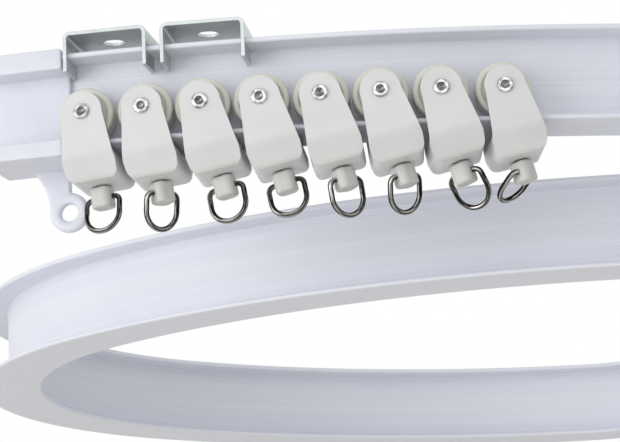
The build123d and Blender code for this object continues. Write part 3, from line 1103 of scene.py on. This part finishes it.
def make_swivel():
    """The neck with its cross hole, and the headed stem that holds it in the bridge."""
    work = workpiece("swivel", prism(neck_outline(), "Z", NECK_FOOT, NECK_TOP))
    ease_edges(work, NECK_ROUNDING, steps=4, angle=60)
    hole = round_outline(RING_HOLE_RADIUS, RING_HOLE_SIDES)
    hole = [(y, z - RING_HOLE_DEPTH) for y, z in hole]
    cut_through(work, hole, "X", -NECK_WIDTH, NECK_WIDTH)
    in_neck, in_head = STEM_ROOTS
    stem = round_outline(STEM_RADIUS, BORE_SIDES)
    cut_through(work, stem, "Z", NECK_TOP - in_neck, STEM_TOP + in_head, "UNION")
    head = round_outline(STEM_HEAD_RADIUS, POCKET_SIDES)
    cut_through(work, head, "Z", STEM_TOP, STEM_TOP + STEM_HEAD, "UNION")
    flat_shading_kept(work)
    return work


SWIVEL_PLASTIC = moulding_finish(
    "swivel_acetal", dark=(0.55, 0.555, 0.545), light=(0.65, 0.655, 0.64), roughness=0.42, drift=2.0
)
swivel = make_swivel()
for number, lean, turn, bar in runner_frames():
    node = f"swivel_{number}"
    show(f"{node}_moulding", placed(swivel, turn), SWIVEL_PLASTIC, node, node)
bpy.data.objects.remove(swivel)


# Rings. D-shaped rings of drawn steel wire with a nickel plate, bent round through the
# swivel's cross hole. Their colour is painted with dark and bright streaks of reflection. A curtain
# hook goes through the round end.
WIRE_RADIUS = 0.7
WIRE_SIDES = 20
WIRE_STATION = 0.35
RING_HALF_WIDTH = 4.75
RING_CORNER = 1.7
RING_SIDE = 4.6


def ring_points():
    """The middle of the wire, from the bar round the bow and back, without the closing point."""
    bar = RING_HALF_WIDTH - RING_CORNER
    path = corner((bar, -RING_CORNER), RING_CORNER, 90, 0, 6)
    path += corner((0, -RING_SIDE), RING_HALF_WIDTH, 0, -180, 28)
    path += corner((-bar, -RING_CORNER), RING_CORNER, 180, 90, 6)
    return [(x, 0, z) for x, z in path]


# Painted reflection: the wire's colour runs from near black to bright in streaks along it, standing
# in for dark and bright surroundings mirrored in the wire.
WIRE_METAL = bright_metal_finish(
    "ring_nickel", dark=(0.015, 0.014, 0.013), light=(0.8, 0.785, 0.76), roughness=0.13,
    coordinates=path_coordinates,
    streaks={"Stretch": (0.12, 1.2, 1), "Darkest Reflection": -2.2, "Brightest": 2.5},
)
wire_section = [(x, y, 0) for x, y in round_outline(WIRE_RADIUS, WIRE_SIDES)]
ring = drawn_along(
    line_object("ring_path", ring_points(), closed=True),
    line_object("wire_section", wire_section, closed=True),
    WIRE_STATION, upright=False, finish=WIRE_METAL,
)
for number, lean, turn, bar in runner_frames():
    node = f"ring_{number}"
    show(f"{node}_wire", placed(ring, bar), WIRE_METAL, node, node)
bpy.data.objects.remove(ring)


# Studio. A wide pale floor well below the rail, a white surround, a large soft light in front at
# the left, about as high as the rail, and a weaker one in front above it. The camera is below the
# rail and looks up at it.
FLOOR_HEIGHT = -1.0
FLOOR_SIZE = 40.0
FLOOR_MOTTLE = (3, 3, 3)
SURROUND_LIGHT = 0.64
LENS = 167.94
SENSOR = 36.0
CAMERA_AT = Vector((0.1869, -0.6974, -0.223))
CAMERA_YAW, CAMERA_PITCH, CAMERA_ROLL = -0.194, 0.2349, -0.0407


def floor_finish():
    """A pale paper floor that isn't seen from below."""
    material, tree, shader = new_finish("paper_floor")
    mottle = stretched_noise(tree, piece_coordinates(tree), FLOOR_MOTTLE, detail=2)
    colour = tinted(tree, mottle, dark=(0.88, 0.86, 0.82), light=(0.9, 0.88, 0.84))
    tree.links.new(colour, shader.inputs["Base Color"])
    shader.inputs["Roughness"].default_value = 0.9
    behind = tree.nodes.new("ShaderNodeNewGeometry")
    clear = tree.nodes.new("ShaderNodeBsdfTransparent")
    either = tree.nodes.new("ShaderNodeMixShader")
    tree.links.new(behind.outputs["Backfacing"], either.inputs["Fac"])
    tree.links.new(shader.outputs["BSDF"], either.inputs[1])
    tree.links.new(clear.outputs["BSDF"], either.inputs[2])
    tree.links.new(either.outputs["Shader"], tree.nodes["Material Output"].inputs["Surface"])
    return material


def make_floor():
    """A square floor under the middle of the picture."""
    half = FLOOR_SIZE / 2
    mesh = bpy.data.meshes.new("floor")
    corners = [(x, y, FLOOR_HEIGHT) for x, y in box_outline(-half, half, -half, half)]
    mesh.from_pydata(corners, [], [(0, 1, 2, 3)])
    mesh.materials.append(floor_finish())
    floor = in_scene("floor", mesh)


def soft_light(name, place, aim, size, power, colour):
    """A round soft lamp that faces a point."""
    lamp = bpy.data.lights.new(name, "AREA")
    lamp.shape = "DISK"
    lamp.size = size
    lamp.energy = power
    lamp.color = colour
    made = in_scene(name, lamp)
    made.location = place
    made.rotation_euler = (Vector(aim) - Vector(place)).to_track_quat("-Z", "Y").to_euler()


def white_surround():
    """White where it is seen directly or mirrored, and dimmer as a light."""
    world = bpy.data.worlds.new("surround")
    bpy.context.scene.world = world
    world.use_nodes = True
    tree = world.node_tree
    rays = tree.nodes.new("ShaderNodeLightPath")
    share = rays.outputs["Is Camera Ray"]
    for kind in ("Is Glossy Ray", "Is Transmission Ray"):
        either = tree.nodes.new("ShaderNodeMath")
        either.operation = "MAXIMUM"
        tree.links.new(share, either.inputs[0])
        tree.links.new(rays.outputs[kind], either.inputs[1])
        share = either.outputs[0]
    strength = spread(tree, share, SURROUND_LIGHT, 1.0)
    background = tree.nodes["Background"]
    background.inputs["Color"].default_value = (1, 1, 1, 1)
    tree.links.new(strength, background.inputs["Strength"])


def make_camera():
    """The camera, turned to the left, up and a little over."""
    data = bpy.data.cameras.new("camera")
    data.lens = LENS
    data.sensor_width = SENSOR
    data.clip_start = 0.01
    made = in_scene("camera", data)
    yaw = Matrix.Rotation(-CAMERA_YAW, 4, "Z")
    pitch = Matrix.Rotation(pi / 2 + CAMERA_PITCH, 4, "X")
    roll = Matrix.Rotation(CAMERA_ROLL, 4, "Z")
    made.matrix_world = Matrix.Translation(CAMERA_AT) @ yaw @ pitch @ roll
    bpy.context.scene.camera = made


make_floor()
soft_light(
    "window_light", place=(-0.9, -0.95, -0.12), aim=(0.03, 0, -0.03),
    size=1.2, power=7.8, colour=(1.0, 0.995, 0.99),
)
soft_light(
    "fill_light", place=(0.2, -1.5, 0.18), aim=(0.1, 0.1, -0.05),
    size=1.2, power=2.6, colour=(0.99, 0.995, 1.0),
)
white_surround()
make_camera()
bpy.context.scene.view_settings.view_transform = "Standard"
